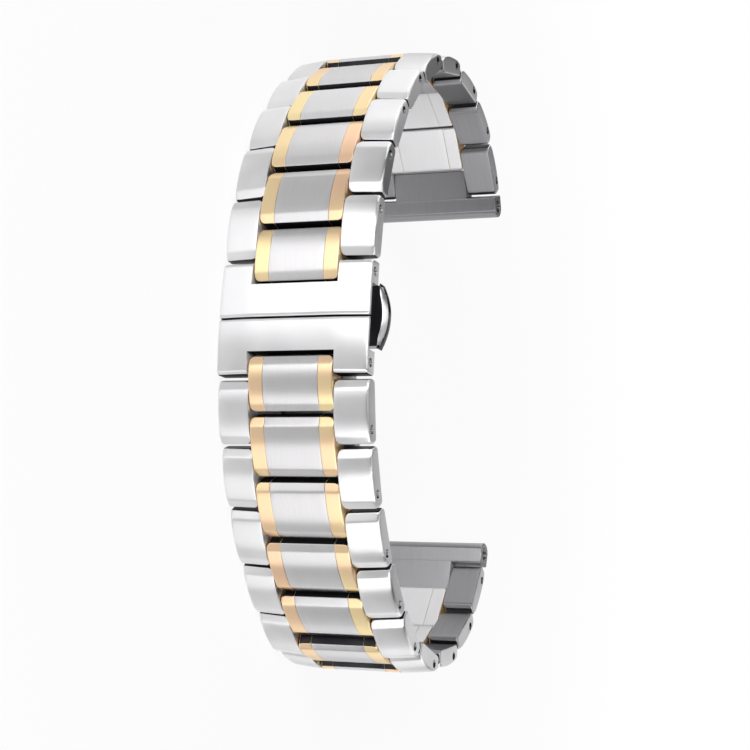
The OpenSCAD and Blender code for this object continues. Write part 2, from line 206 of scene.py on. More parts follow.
# OUTER PIECES OF THE LINKS
# A pair of stainless steel blocks on each link, cut from drawn bar, domed, bevelled across both ends
# and polished. Two pins run through each pair: one holds it to its own centre piece and the next
# link turns on the other.
LINKS = 9
HALVES = ("left", "right")
HALF_WIDTH, HALF_THICK = 10.0, 1.45
ROW_EDGE = 5.6                          # boundary between the outer and the gold row
PITCH = 8.0
OUTER_SPAN = (2.25, 9.75)               # along the link, from the pin on which it turns
FIRST_OUTER_SPAN = (1.95, 9.75)
OUTER_ROW = (5.64, 10.0)
OUTER_ROUNDS = (0.32, 0.25, 0.15, 0.07)    # of the long edges, in the order that section gives
OUTER_CORNERS = (0.3, 0.3, 0.7, 0.7)    # of the plan, in the order that bar gives
END_ROUND = 0.07                        # of the edges of both ends
BEVEL_LONG, BEVEL_DEEP = 1.0, 0.72
DOME = 0.24
CROWN, CROWN_POWER = 0.42, 1.2
FOOT = 0.5                              # chamfer at the foot of both ends
BORE, BORE_FROM, FIXING_BORE_TO = 0.55, 4, 8.8
THROUGH = 12                            # a bore that runs out through the side reaches this far
BEVEL_RINGS = np.array([-0.1, -0.04, 0.04, 0.1, 0.2])    # rings at the bevel's top, from there
DOME_RINGS = 0.35                       # from the bevel's top to the first of the wider rings
SHARP = np.radians(40)                  # where faces meet at more than this, the edge stays sharp
EDGE_STEPS, FACE_WEIGHT = 2, 60         # of rounded edges, and of large faces in the shading
CENTIMETRE = 10
QUARTER_TURN = 0.25

hinge_at = {j["child"]: np.array(j["pos_m"]) for j in frame["joints"] if j["type"] == "hinge"}
lug_at = {m["name"].split("_")[0]: np.array(m["pos_m"]) for m in frame["record"]["mounts"]}


def link_frame(half, k):
    """Where link k of a half lies: its origin is the pin on which it turns, s points to the next pin,
    y to the wrist and z along the pin. It is a 4x4 matrix from millimetres to metres."""
    start = hinge_at[f"{half}_link_{k}" if k <= LINKS else f"{half}_end"]
    if k < LINKS:
        end = hinge_at[f"{half}_link_{k + 1}"]
    elif k == LINKS:
        end = hinge_at[f"{half}_end"]
    else:
        end = lug_at[half]
    s = (end - start) / np.linalg.norm(end - start)
    z = np.array([0.0, 0.0, 1.0 if half == "right" else -1.0])
    place = np.eye(4)
    place[:3, 0], place[:3, 1], place[:3, 2] = s * MM, np.cross(z, s) * MM, z * MM
    place[:3, 3] = start
    return place


def eased(x, width=0.05):
    """x where it is well above 0 and 0 where it is well below, with a round turn of about that width
    between: half the sum of x and the root of x squared plus width squared."""
    return 0.5 * (x + np.sqrt(x * x + width * width))


def stations(length, fillet, bevel, count=16):
    """Distances from the start of a bar at which its rings lie: close together on the end fillets and
    round the bevels' tops, and wider over the dome, where there are count of them. Returned with
    each ring's inset, which is fillet x (1 - sin a) at the distance fillet x (1 - cos a)."""
    a = np.linspace(0, np.pi / 2, 5)
    near = np.concatenate([fillet * (1 - np.cos(a)),
                           fillet + (bevel - fillet) * np.linspace(0, 1, 9)[1:] ** 1.3,
                           bevel + BEVEL_RINGS])
    near = np.sort(near)
    middle = np.linspace(bevel + DOME_RINGS, length - bevel - DOME_RINGS, count)
    d = np.concatenate([near, middle, length - near[::-1]])
    edge = np.minimum(d, length - d)
    short = np.clip(1 - edge / fillet, 0, 1)
    return d, fillet * (1 - np.sqrt(1 - short ** 2))


def section(radii, wide=9, tall=4, turn=6):
    """One turn round a bar's section, as four rows: the share of its width, a fixed step across, the
    share of its height and a fixed step down. Each corner is a quarter circle of its own radius,
    in the order top far, bottom far, bottom near, top near. wide, tall and turn are the numbers of
    points across it, down it and round a corner."""
    a = np.linspace(0, np.pi / 2, turn)
    c, s, one, none = 1 - np.cos(a), 1 - np.sin(a), np.ones(turn), np.zeros(turn)
    r0, r1, r2, r3 = radii
    parts = [(one, -r0 * s, none, r0 * c), (one, -r1 * c, one, -r1 * s),
             (none, r2 * s, one, -r2 * c), (none, r3 * c, none, r3 * s)]
    rows = []
    for i, corner in enumerate(parts):
        following = parts[(i + 1) % 4]
        t = np.linspace(0, 1, tall if i % 2 == 0 else wide)[1:-1]
        between = [(1 - t) * p[-1] + t * q[0] for p, q in zip(corner, following)]
        rows.append(np.array([np.concatenate([p, q]) for p, q in zip(corner, between)]))
    return np.concatenate(rows, axis=1)


def bar(span, row, ring, top, foot, corners=(0, 0, 0, 0), fillet=END_ROUND, bevel=BEVEL_LONG):
    """A closed bar as rings along s, in millimetres (rings, points, 3). At distance d along it the
    section lies between the row's two sides, which turn in round the plan's corners by
    r - root(r squared - (r - e) squared) at e from an end. Its face lies top(d, z) below the plane
    of the link's face, and its foot rises by foot(e) from the plane of its back.
    corners are plan radii: far start, far end, near start, near end."""
    length = span[1] - span[0]
    d, inset = stations(length, fillet, bevel)

    def turned_in(r, e):
        """How far a plan corner of radius r stands back from the side at e from the end."""
        return r - np.sqrt(np.maximum(r * r - np.maximum(r - e, 0) ** 2, 0))

    far = row[1] - turned_in(corners[0], d) - turned_in(corners[1], length - d) - inset
    near = row[0] + turned_in(corners[2], d) + turned_in(corners[3], length - d) + inset
    share_z, step_z, share_y, step_y = ring
    z = near[:, None] + share_z * (far - near)[:, None] + step_z
    face = top(d[:, None], z) - HALF_THICK + inset[:, None]
    rear = HALF_THICK - foot(np.minimum(d, length - d))[:, None] - inset[:, None]
    y = face + share_y * (rear - face) + step_y
    s = np.broadcast_to((span[0] + d)[:, None], y.shape)
    return np.stack([s, y, z], axis=-1)


def joined_rings(rings):
    """Points and faces of rings that follow each other, with a flat face over each end. Points run
    ring by ring; each face of the wall takes two neighbours from one ring and two from the next."""
    n, m = rings.shape[:2]
    i, j = np.meshgrid(np.arange(n - 1), np.arange(m), indexing="ij")
    k = (j + 1) % m
    walls = np.stack([i * m + j, i * m + k, (i + 1) * m + k, (i + 1) * m + j], -1).reshape(-1, 4)
    points = rings.reshape(-1, 3)
    a, b, c = points[walls[:, 0]], points[walls[:, 1]], points[walls[:, 2]]
    if np.einsum("ij,ij->", a - points.mean(0), np.cross(b - a, c - a)) < 0:
        walls = walls[:, ::-1]
        ends = [list(range(m)), list(range(n * m - 1, (n - 1) * m - 1, -1))]
    else:
        ends = [list(range(m - 1, -1, -1)), list(range((n - 1) * m, n * m))]
    return points, walls.tolist() + ends


def mesh_of(name, *shells):
    """One mesh from closed shells, each given as points and faces, in millimetres."""
    points, faces, start = [], [], 0
    for p, f in shells:
        points.append(p)
        faces += [[v + start for v in face] for face in f]
        start += len(p)
    mesh = bpy.data.meshes.new(name)
    mesh.from_pydata(np.concatenate(points).tolist(), [], faces)
    return mesh


def mirrored(shell):
    """A shell on the strap's other side: z changes its sign and the faces turn round."""
    points, faces = shell
    return points * [1, 1, -1], [face[::-1] for face in faces]


def rod(x, y, radius, z0, z1, round_end=0.0, sides=32):
    """A round rod along z: circles of the rod's radius, drawn in over both ends by
    round_end x (1 - sin a) at round_end x (1 - cos a) from the end."""
    a = np.linspace(0, np.pi / 2, 5) if round_end else np.zeros(1)
    step, inset = round_end * (1 - np.cos(a)), round_end * (1 - np.sin(a))
    z = np.concatenate([z0 + step, z1 - step[::-1]])
    r = radius - np.concatenate([inset, inset[::-1]])
    turn = np.linspace(0, 2 * np.pi, sides, endpoint=False)
    rings = np.stack([x + r[:, None] * np.cos(turn), y + r[:, None] * np.sin(turn),
                      np.broadcast_to(z[:, None], (len(z), sides))], -1)
    return joined_rings(rings)


def cut(mesh, tool, way="DIFFERENCE"):
    """The mesh with a tool mesh cut out of it, or added to it, by an exact boolean."""
    objects = [bpy.data.objects.new(m.name, m) for m in (mesh, tool)]
    for o in objects:
        bpy.context.scene.collection.objects.link(o)
    change = objects[0].modifiers.new("cut", "BOOLEAN")
    change.operation, change.solver, change.object = way, "EXACT", objects[1]
    bpy.context.view_layer.update()
    solved = objects[0].evaluated_get(bpy.context.evaluated_depsgraph_get())
    made = bpy.data.meshes.new_from_object(solved)
    made.name = mesh.name
    for o in objects:
        bpy.data.objects.remove(o)
    return made


def points_of(mesh):
    """A mesh's points as an array."""
    flat = np.empty(len(mesh.vertices) * 3)
    mesh.vertices.foreach_get("co", flat)
    return flat.reshape(-1, 3)


def finished(name, mesh, place, material, body, nodes, grain_from=0.0, others=(), edge=0.0):
    """A piece of the strap from a mesh in its link's or the clasp's own frame. Its grain map holds the
    distance along the strap and the distance across it, plus the height, in centimetres. Each of the
    others is a material and a test that picks its faces by their normals. Then the points go to
    their place, the faces are shaded evenly, with edges rounded where an edge width is given, and
    the piece rides on its body."""
    mesh = mesh.copy()
    mesh.name = name
    points = points_of(mesh)
    corner = np.empty(len(mesh.loops), int)
    mesh.loops.foreach_get("vertex_index", corner)
    grain = np.stack([points[:, 0] + grain_from, points[:, 2] + points[:, 1]], -1) / CENTIMETRE
    layer = mesh.uv_layers.new(name="grain")
    layer.data.foreach_set("uv", grain[corner].ravel())
    normals = np.empty(len(mesh.polygons) * 3)
    mesh.polygons.foreach_get("normal", normals)
    mesh.materials.clear()
    mesh.materials.append(material)
    index = np.zeros(len(mesh.polygons), np.int32)
    for i, (other, test) in enumerate(others):
        mesh.materials.append(other)
        index[test(normals.reshape(-1, 3))] = i + 1
    mesh.polygons.foreach_set("material_index", index)
    placed = points @ place[:3, :3].T + place[:3, 3]
    mesh.vertices.foreach_set("co", placed.ravel())
    mesh.polygons.foreach_set("use_smooth", np.ones(len(mesh.polygons), bool))
    mesh.set_sharp_from_angle(angle=SHARP)
    piece = bpy.data.objects.new(name, mesh)
    bpy.context.scene.collection.objects.link(piece)
    if edge:
        soft = piece.modifiers.new("soft_edges", "BEVEL")
        soft.width, soft.segments, soft.angle_limit = edge * MM, EDGE_STEPS, SHARP
        soft.limit_method, soft.use_clamp_overlap = "ANGLE", True
    even = piece.modifiers.new("even_shading", "WEIGHTED_NORMAL")
    even.keep_sharp, even.weight = True, FACE_WEIGHT
    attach(piece, body)
    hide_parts(*nodes)
    return piece


def noise_on(tree, coordinates, scale, stretch=(1, 1, 1), detail=3.0):
    """A noise texture on Object coordinates or on a named UV map, stretched by a Mapping node."""
    source = tree.nodes.new("ShaderNodeTexCoord" if coordinates == "Object" else "ShaderNodeUVMap")
    if coordinates != "Object":
        source.uv_map = coordinates
    mapping = tree.nodes.new("ShaderNodeMapping")
    mapping.inputs["Scale"].default_value = stretch
    noise = tree.nodes.new("ShaderNodeTexNoise")
    noise.inputs["Scale"].default_value = scale
    noise.inputs["Detail"].default_value = detail
    tree.links.new(source.outputs["Object" if coordinates == "Object" else "UV"], mapping.inputs[0])
    tree.links.new(mapping.outputs[0], noise.inputs["Vector"])
    return noise.outputs["Fac"]


def ranged(tree, value, low, high, start=0.3, end=0.7):
    """A value carried from start..end, the middle of a noise's range, to low..high."""
    node = tree.nodes.new("ShaderNodeMapRange")
    for socket, number in (("From Min", start), ("From Max", end), ("To Min", low), ("To Max", high)):
        node.inputs[socket].default_value = number
    tree.links.new(value, node.inputs["Value"])
    return node.outputs["Result"]


def blended(tree, value, first, second):
    """A colour between two others by a value from 0 to 1."""
    node = tree.nodes.new("ShaderNodeMix")
    node.data_type = "RGBA"
    node.inputs["A"].default_value, node.inputs["B"].default_value = (*first, 1), (*second, 1)
    tree.links.new(value, node.inputs["Factor"])
    return [s for s in node.outputs if s.type == "RGBA"][0]


def drawn_out(tree, shader, amount):
    """Draws a shader's highlight out across the lines of the grain map."""
    shader.inputs["Anisotropic"].default_value = amount
    shader.inputs["Anisotropic Rotation"].default_value = QUARTER_TURN
    tangent = tree.nodes.new("ShaderNodeTangent")
    tangent.direction_type, tangent.uv_map = "UV_MAP", "grain"
    tree.links.new(tangent.outputs[0], shader.inputs["Tangent"])


def ridged(tree, shader, lines, strength, deep):
    """Gives a shader the relief of fine lines, with their depth in metres."""
    bump = tree.nodes.new("ShaderNodeBump")
    bump.inputs["Strength"].default_value = strength
    bump.inputs["Distance"].default_value = deep
    tree.links.new(lines, bump.inputs["Height"])
    tree.links.new(bump.outputs[0], shader.inputs["Normal"])


def polished_metal(name, colour, tarnish, rough=(0.30, 0.36), drawn=1.0, patch=220.0):
    """Metal polished along the strap: faint cloudiness from handling in its colour and gloss, and the
    last fine lines of the polishing wheel as a very shallow bump and a highlight drawn out across
    them."""
    material, tree, output = node_material(name)
    shader = tree.nodes.new("ShaderNodeBsdfPrincipled")
    shader.inputs["Metallic"].default_value = 1.0
    cloud = noise_on(tree, "Object", patch, detail=1.0)
    tree.links.new(blended(tree, ranged(tree, cloud, 0, 1), colour, tarnish),
                   shader.inputs["Base Color"])
    tree.links.new(ranged(tree, cloud, *rough), shader.inputs["Roughness"])
    lines = noise_on(tree, "grain", scale=60.0, stretch=(0.25, 6.0, 1.0), detail=2.0)
    ridged(tree, shader, lines, strength=0.06, deep=0.00002)
    drawn_out(tree, shader, drawn)
    tree.links.new(shader.outputs[0], output.inputs["Surface"])
    return material


def satin_metal(name, colour, shade, rough=(0.33, 0.41), grain=1.0):
    """Brushed metal: fine lines along the strap in its colour, gloss and height, and a highlight
    drawn out across them by anisotropy that follows the grain map."""
    material, tree, output = node_material(name)
    shader = tree.nodes.new("ShaderNodeBsdfPrincipled")
    shader.inputs["Metallic"].default_value = 1.0
    lines = noise_on(tree, "grain", scale=90.0, stretch=(0.02, 2.2, 1.0), detail=5.0)
    tree.links.new(blended(tree, ranged(tree, lines, 0, 1), colour, shade),
                   shader.inputs["Base Color"])
    tree.links.new(ranged(tree, lines, *rough), shader.inputs["Roughness"])
    ridged(tree, shader, lines, strength=0.10 * grain, deep=0.00003)
    drawn_out(tree, shader, 1.0)
    tree.links.new(shader.outputs[0], output.inputs["Surface"])
    return material


def link_top(d, length):
    """Depth of a link's face below its plane: a dome of DOME x (2u - 1) squared between the bevels,
    and at each end a bevel that falls by BEVEL_DEEP over BEVEL_LONG, eased where it meets the dome."""
    u = np.clip((d - BEVEL_LONG) / (length - 2 * BEVEL_LONG), 0, 1)
    e = np.minimum(d, length - d)
    return DOME * (2 * u - 1) ** 2 + eased((BEVEL_DEEP - DOME) * (1 - e / BEVEL_LONG))


def crown(z):
    """Fall of the outer row's face towards the strap's edge: CROWN x t to the power CROWN_POWER, t
    being the share of the row's width."""
    t = np.clip((np.abs(z) - ROW_EDGE) / (HALF_WIDTH - ROW_EDGE), 0, 1)
    return CROWN * t ** CROWN_POWER


def foot_rise(e):
    """The chamfer at the foot of an end: it rises by FOOT - e at e from the end."""
    return eased(FOOT - e)


def outer_pair(span, bores):
    """Both outer pieces of a link over a span, bored for the pins. Their face is the link's, with the
    outer row's crown."""
    one = joined_rings(bar(span, OUTER_ROW, section(OUTER_ROUNDS),
                           lambda d, z: link_top(d, span[1] - span[0]) + crown(z),
                           foot_rise, OUTER_CORNERS))
    return cut(mesh_of("outer_pair", one, mirrored(one)), bores)


def end_faces(normal):
    """Faces that look along the strap, within 37 degrees."""
    return np.abs(normal[:, 0]) > 0.8


def wrist_faces(normal):
    """Faces that look to the wrist, within 60 degrees."""
    return normal[:, 1] > 0.5


def on_each_link(piece, first, other, material, node, slot, others=()):
    """A piece on every link of both halves, from one mesh for a half's first link and another for the
    rest. It replaces the link's node of the given name."""
    for half in HALVES:
        for k in range(1, LINKS + 1):
            body = f"{half}_link_{k}"
            finished(f"{body}_{piece}", first if k == 1 else other, link_frame(half, k), material,
                     body, [f"{body}_{node}"], PITCH * k, others)


steel = polished_metal("polished_steel", (0.80, 0.80, 0.81), (0.75, 0.75, 0.76))
# Painted shade: the wrist faces of the outer pieces and covers get a dark grey satin copy of the steel,
# for the shade inside the loop.
wrist_shade_steel = satin_metal("wrist_shade_steel", (0.34, 0.34, 0.35), (0.28, 0.28, 0.29))
# Painted shade: the ends of the pieces are coloured near black, so the gaps between links read dark.
gap_shade_steel = polished_metal("gap_shade_steel", (0.05, 0.05, 0.055), (0.03, 0.03, 0.035),
                           rough=(0.40, 0.55), drawn=0.0)
outer_sides = ((wrist_shade_steel, wrist_faces), (gap_shade_steel, end_faces))
pin_bores = mesh_of("pin_bores", *[rod(s, 0, BORE, *sorted((side * BORE_FROM, side * end)))
                                   for s, end in ((PITCH / 2, FIXING_BORE_TO), (PITCH, THROUGH))
                                   for side in (1, -1)])
on_each_link("outer_pair", outer_pair(FIRST_OUTER_SPAN, pin_bores), outer_pair(OUTER_SPAN, pin_bores),
             steel, "outers", "polished_steel", outer_sides)


# LINK PINS
# Two hard steel pins in each link. The one that fixes the link together ends inside the outer
# pieces; the one on which the next link turns is pushed in from the side, and its rounded end lies a
# little below the polished edge.
PIN, PIN_ROUND = 0.5, 0.14
FIXING_HALF, PIN_HALF = 8.7, 9.85    # half the lengths of the two

link_pins = mesh_of("link_pins", *[rod(s, 0, PIN, -long, long, PIN_ROUND)
                                   for s, long in ((PITCH / 2, FIXING_HALF), (PITCH, PIN_HALF))])
# Painted shade: the pins, rivets and hinge pins are coloured dark for the shade in the bores round their
# ends.
pin_shade_steel = polished_metal("pin_shade_steel", (0.22, 0.22, 0.23), (0.16, 0.16, 0.17),
                           rough=(0.16, 0.28), drawn=0.0)
on_each_link("pins", link_pins, link_pins, pin_shade_steel, "outers", "polished_steel")


# CENTRE PIECES
# One steel block in the middle of each link, ground with a lengthwise satin grain. A pin fixes it
# between its own outer pieces, and it reaches back between those of the link before, on whose pin
# it turns.
CENTRE_SPAN, FIRST_SPAN = (-1.75, 5.75), (-1.05, 5.75)
CENTRE_ROW = (-3.635, 3.635)
CENTRE_ROUND = 0.05


def centre_bar(span, row, radii, corners=(0, 0, 0, 0)):
    """A closed bar of the inner rows over a span, between the two sides of its row, with the link's
    face on it and the chamfers at its feet."""
    return joined_rings(bar(span, row, section(radii),
                            lambda d, z: link_top(d, span[1] - span[0]), foot_rise, corners))


satin = satin_metal("satin_steel", (0.72, 0.71, 0.72), (0.66, 0.65, 0.66))
inner_steel = satin_metal("inner_steel", (0.82, 0.81, 0.82), (0.76, 0.75, 0.76))
# The ends of the centre and gold pieces take the painted gap shade.
inner_sides = ((inner_steel, wrist_faces), (gap_shade_steel, end_faces))
own_bores = mesh_of("own_bores", *[rod(s, 0, BORE, -THROUGH, THROUGH) for s in (0, PITCH / 2)])
centres = [cut(mesh_of("centre", centre_bar(span, CENTRE_ROW, (CENTRE_ROUND,) * 4)), own_bores)
           for span in (FIRST_SPAN, CENTRE_SPAN)]
on_each_link("centre_piece", *centres, satin, "centre", "satin_steel", inner_sides)


# GOLD PIECES
# A narrow gold-coloured piece on each side of the centre piece, polished, with rounded corners
# towards the outer row. The plating leaves the wrist side bare.
GOLD_ROW = (3.665, 5.56)
GOLD_ROUNDS, GOLD_CORNERS = (0.12, 0.12, 0.05, 0.05), (0.7, 0.7, 0, 0)


def gold_pair(span):
    """Both gold pieces of a link over a span, bored for the pins."""
    one = centre_bar(span, GOLD_ROW, GOLD_ROUNDS, GOLD_CORNERS)
    return cut(mesh_of("gold_pair", one, mirrored(one)), own_bores)


gold = polished_metal("gold_plate", (0.94, 0.77, 0.43), (0.94, 0.64, 0.44), patch=90.0)
on_each_link("gold_pair", gold_pair(FIRST_SPAN), gold_pair(CENTRE_SPAN), gold, "centre", "gold_plate",
             inner_sides)


# END LINKS
# The solid steel block at each end of the strap, whose nose is turned round the bore for the watch's
# spring bar. Its tongue is held between the last outer pieces.
NOSE_FROM, LUG_AT, LUG_BORE, NOSE = 2.25, 3.85, 0.95, 1.6
NOSE_TURN = 75               # degrees to which the nose is round above and below
NOSE_CORNER, NOSE_EDGE = 0.25, 0.16    # rounds beside the last link and at the strap's edges
TONGUE_ROW, TONGUE_ROUND = (-5.56, 5.56), 0.12
TONGUE_SPAN = (-1.75, NOSE_FROM + 0.6)
TONGUE_LOW = 0.02            # below the faces of the nose


def extruded(outline, z0, z1, fillet, steps=5, between=7):
    """A closed bar along z from an outline of points (s, y), drawn in over both ends by
    fillet x (1 - sin a) at fillet x (1 - cos a) from the end, along the outline's own normals. It
    has as many rings as steps on each round end and as between on its straight length."""
    outline = np.array(outline, float)
    ahead = np.roll(outline, -1, 0) - outline
    ahead /= np.linalg.norm(ahead, axis=1)[:, None]
    turn = ahead + np.roll(ahead, 1, 0)
    turn /= np.linalg.norm(turn, axis=1)[:, None]
    normal = np.stack([turn[:, 1], -turn[:, 0]], -1)
    a = np.linspace(0, np.pi / 2, steps)
    step, inset = fillet * (1 - np.cos(a)), fillet * (1 - np.sin(a))
    straight = np.linspace(z0 + fillet, z1 - fillet, between + 2)[1:-1]
    z = np.concatenate([z0 + step, straight, z1 - step[::-1]])
    drawn = np.concatenate([inset, np.zeros(between), inset[::-1]])
    plane = outline[None] - drawn[:, None, None] * normal[None]
    height = np.broadcast_to(z[:, None, None], (*plane.shape[:2], 1))
    return joined_rings(np.concatenate([plane, height], -1))


def arc(x, y, radius, first, last, steps):
    """Points on a circle between two angles in degrees."""
    t = np.radians(np.linspace(first, last, steps))
    return [(x + radius * np.cos(a), y + radius * np.sin(a)) for a in t]


nose_outline = (arc(NOSE_FROM + NOSE_CORNER, -HALF_THICK + NOSE_CORNER, NOSE_CORNER, 180, 270, 5)
                + arc(LUG_AT, 0, NOSE, -NOSE_TURN, NOSE_TURN, 25)
                + arc(NOSE_FROM + NOSE_CORNER, HALF_THICK - NOSE_CORNER, NOSE_CORNER, 90, 180, 5))
tongue = joined_rings(bar(TONGUE_SPAN, TONGUE_ROW, section((TONGUE_ROUND,) * 4),
                          lambda d, z: eased(BEVEL_DEEP * (1 - d / BEVEL_LONG)) + TONGUE_LOW,
                          lambda e: TONGUE_LOW + 0 * e))
end_bores = mesh_of("end_bores", rod(0, 0, BORE, -THROUGH, THROUGH),
                    rod(LUG_AT, 0, LUG_BORE, -THROUGH, THROUGH))
end_block = cut(mesh_of("end_block", extruded(nose_outline, -HALF_WIDTH, HALF_WIDTH, NOSE_EDGE)),
                end_bores)
end_tongue = cut(mesh_of("end_tongue", tongue), end_bores)
# Painted shade: the end links are coloured as steel in shade, much darker than the rest of the strap's
# steel.
end_shade_steel = satin_metal("end_link_shade_steel", (0.36, 0.36, 0.37), (0.31, 0.31, 0.32))
for half in HALVES:
    for name, mesh in (("block", end_block), ("tongue", end_tongue)):
        finished(f"{half}_end_{name}", mesh, link_frame(half, LINKS + 1), end_shade_steel,
                 f"{half}_end", [f"{half}_end_link"], edge=0.05)


# CLASP COVERS
# Two polished steel covers that meet at a seam, each milled from one block: a domed and crowned plate
# with a notch for the first centre piece, prongs for the first pin, hinge ears below, and a side cut
# out for the button on one edge and closed on the other.
COVER_SPAN, COVER_ROW, COVER_TOP, COVER_FOOT = (0.03, 7.0), (-10.0, 10.0), 1.6, 1.3
COVER_ROUNDS, COVER_CORNERS = (0.3, 0.15, 0.15, 0.3), (0.15, 0.25, 0.15, 0.25)
COVER_DROP, SEAM_ROUND, END_BEVEL, END_FALL = 0.35, 0.5, 0.6, 0.5
COVER_PLATE, NOTCH_FROM, NOTCH_HALF = 0.7, 4.2, 5.75
CUT_OUT, WALL_FROM = 4.1, 8.4    # the length of the room below the plate, and its closed side
LIP_LONG, LIP_FOOT = 0.5, 1.0    # of the lip under the plate's edge at the notch
COVER_PIN, COVER_PIN_HALF = (2.6, 0.45), 7.65
FIRST_PIN_X = 5.6
EAR, EAR_ROW, EAR_TOP = 0.95, (6.9, 8.0), -0.78
EAR_BORE_HALF, EAR_ROUND = 7.7, 0.06


def clasp_frame(half):
    """Where a half of the clasp lies: its origin is at the seam, x points away from it, y to the
    wrist and z across the strap, as a 4x4 matrix from millimetres to metres."""
    place = np.eye(4)
    turn = 1.0 if half == "right" else -1.0
    place[:3, :3] = np.diag([turn, 1.0, turn]) * MM
    place[:3, 3] = (hinge_at["left_link_1"] + hinge_at["right_link_1"]) / 2
    return place


def cover_face(d, z):
    """Depth of a cover's face below the plane of the links' faces: COVER_DROP x (x / its end) squared
    along it, a round edge of SEAM_ROUND at the seam, a round fall of END_FALL over END_BEVEL at its
    end, and the outer row's crown across it. Its highest line lies at COVER_TOP."""
    x = COVER_SPAN[0] + d
    near = np.clip(1 - d / SEAM_ROUND, 0, 1)
    far = np.clip((x - COVER_SPAN[1] + END_BEVEL) / END_BEVEL, 0, 1)
    return (COVER_DROP * (x / COVER_SPAN[1]) ** 2 + SEAM_ROUND * (1 - np.sqrt(1 - near ** 2))
            + END_FALL * (1 - np.sqrt(1 - far ** 2)) + crown(z) + HALF_THICK - COVER_TOP)


def box(low, high):
    """A closed box between two corners."""
    x, y, z = np.array([low, high], float).T
    points = np.array([(x[i], y[j], z[k]) for i in (0, 1) for j in (0, 1) for k in (0, 1)])
    return points, [[0, 1, 3, 2], [4, 6, 7, 5], [0, 4, 5, 1],
                    [2, 3, 7, 6], [0, 2, 6, 4], [1, 5, 7, 3]]


def cover_meshes(open_side):
    """A cover's plate and its two ears. The plate is cut out for the button on one side, 1 for +z and
    -1 for -z. The boxes that cut it reach a few millimetres past it where it is open."""
    body = joined_rings(bar(COVER_SPAN, COVER_ROW, section(COVER_ROUNDS, wide=41), cover_face,
                            lambda e: HALF_THICK - COVER_FOOT + 0 * e, COVER_CORNERS,
                            fillet=0.05, bevel=END_BEVEL))
    z0, z1 = sorted((-WALL_FROM * open_side, THROUGH * open_side))
    pocket = mesh_of("pocket", box((-1, -COVER_PLATE, z0), (CUT_OUT, 3, z1)))
    lip = box((NOTCH_FROM - LIP_LONG, -2, -NOTCH_HALF), (NOTCH_FROM + 1, LIP_FOOT, NOTCH_HALF))
    notch = box((NOTCH_FROM, -3, -NOTCH_HALF), (9, 3, NOTCH_HALF))
    plate = cut(mesh_of("cover", body), cut(pocket, mesh_of("lip", lip)))
    plate = cut(plate, mesh_of("notch", notch))
    plate = cut(plate, mesh_of("first_bore", rod(FIRST_PIN_X, 0, BORE, -THROUGH, THROUGH)))
    outline = ([(COVER_PIN[0] - EAR, EAR_TOP), (COVER_PIN[0] + EAR, EAR_TOP)]
               + arc(*COVER_PIN, EAR, 0, 180, 17))
    ears = mesh_of("ears", *[extruded(outline, *sorted((side * EAR_ROW[0], side * EAR_ROW[1])),
                                      EAR_ROUND, steps=3) for side in (1, -1)])
    ear_bore = mesh_of("ear_bore", rod(*COVER_PIN, BORE, -EAR_BORE_HALF, EAR_BORE_HALF))
    return plate, cut(ears, ear_bore)


# The covers' wrist faces and end walls take the painted shade of outer_sides.
for half, open_side in (("right", 1), ("left", -1)):
    for name, mesh in zip(("cover_plate", "cover_ears"), cover_meshes(open_side)):
        finished(f"{half}_{name}", mesh, clasp_frame(half), steel, f"{half}_cover",
                 [f"{half}_cover"], others=outer_sides, edge=0.04)
    for name, at, long, body in (("first_pin", (FIRST_PIN_X, 0), PIN_HALF, "cover"),
                                 ("cover_pin", COVER_PIN, COVER_PIN_HALF, "arm")):
        finished(f"{half}_{name}_rod", mesh_of(name, rod(*at, PIN, -long, long, PIN_ROUND)),
                 clasp_frame(half), pin_shade_steel, f"{half}_{body}", [f"{half}_{name}"])


# PUSH BUTTON
# Pressed in from the strap's side, it frees both covers. A lens-shaped head with a bevelled front
# edge stands on a flat neck between the covers; a round stem and a hook plate follow inside.
HEAD_FRONT, HEAD_BACK = -0.6, 1.2
LENS_HALF, LENS_FOOT, LENS_TOP = 4.0, 10.9, 12.0
LENS_TIP = 0.992             # share of the half length at which the head ends, short of a knife edge
LENS_BEVEL = 0.5
LENS_FULL, LENS_LEAST = 0.7, 0.05    # height from which its bevels are whole, and their least share
# The head's section from front to back: its place along y, and its depth below the crest.
LENS_SECTION = (
    (HEAD_FRONT, 0), (HEAD_FRONT, LENS_BEVEL + 0.06), (HEAD_FRONT + 0.06, LENS_BEVEL - 0.04),
    (HEAD_FRONT + LENS_BEVEL, 0.03), (HEAD_FRONT + LENS_BEVEL + 0.08, 0),
    (HEAD_BACK - 0.3, 0), (HEAD_BACK - 0.08, 0.08), (HEAD_BACK, 0.3), (HEAD_BACK, 0),
)
NECK_HALF, NECK_FROM = 3.7, 9.25
STEM, STEM_Y, STEM_ROUND, STEM_SPAN = 0.7, 0.5, 0.1, (2.55, NECK_FROM + 0.2)
HOOK_HALF, HOOK_FROM, HOOK_TO, HOOK_BACK = 2.02, 4.4, 4.9, 1.25
HOOK_ROUND, HOOK_CUT = 0.8, (3, 6)    # hollow of each hook round its cover pin, cut along z
JOINED = 0.02                # how far the neck runs into the head


